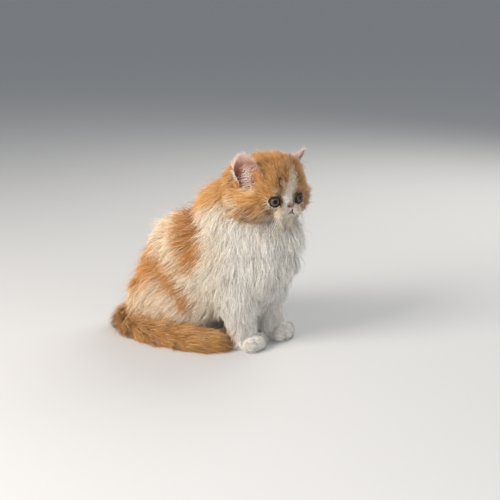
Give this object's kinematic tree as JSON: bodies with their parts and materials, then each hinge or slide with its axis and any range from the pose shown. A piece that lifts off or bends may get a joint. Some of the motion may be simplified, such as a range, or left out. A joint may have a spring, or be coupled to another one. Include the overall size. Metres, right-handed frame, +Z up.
{
  "type": "persian kitten",
  "caption": "Life-size sitting Persian kitten with a long woolly orange and white coat, a flat face turned to its right and its tail laid along its side.",
  "frame": {"origin": "on the floor, under the middle of the box round the whole kitten", "axes": "+X the way the body faces, +Y the kitten's left side, +Z up"},
  "size_m": [0.2068, 0.1128, 0.2015],
  "materials": {
    "coat_orange": "long woolly red coat with paler cream tips, matt",
    "coat_white": "long woolly white coat, matt",
    "nose_leather": "brick pink nose leather, slightly moist",
    "ear_skin": "thin pink skin with a soft sheen",
    "eye": "wet clear cornea over a grey brown iris",
    "whisker": "stiff white whisker hair"
  },
  "bodies": {
    "root": {"ear_left": "coat_orange", "ear_right": "coat_orange", "eye_left": "eye", "eye_right": "eye", "front_leg_left": "coat_white", "front_leg_right": "coat_white", "front_paw_left": "coat_white", "front_paw_right": "coat_white", "head": "coat_orange", "hind_foot_left": "coat_white", "hind_foot_right": "coat_white", "hind_leg_left": "coat_orange", "hind_leg_right": "coat_orange", "neck": "coat_white", "nose": "nose_leather", "tail_end": "coat_orange", "tail_middle": "coat_orange", "tail_root": "coat_orange", "torso": "coat_white"}
  },
  "joints": []
}
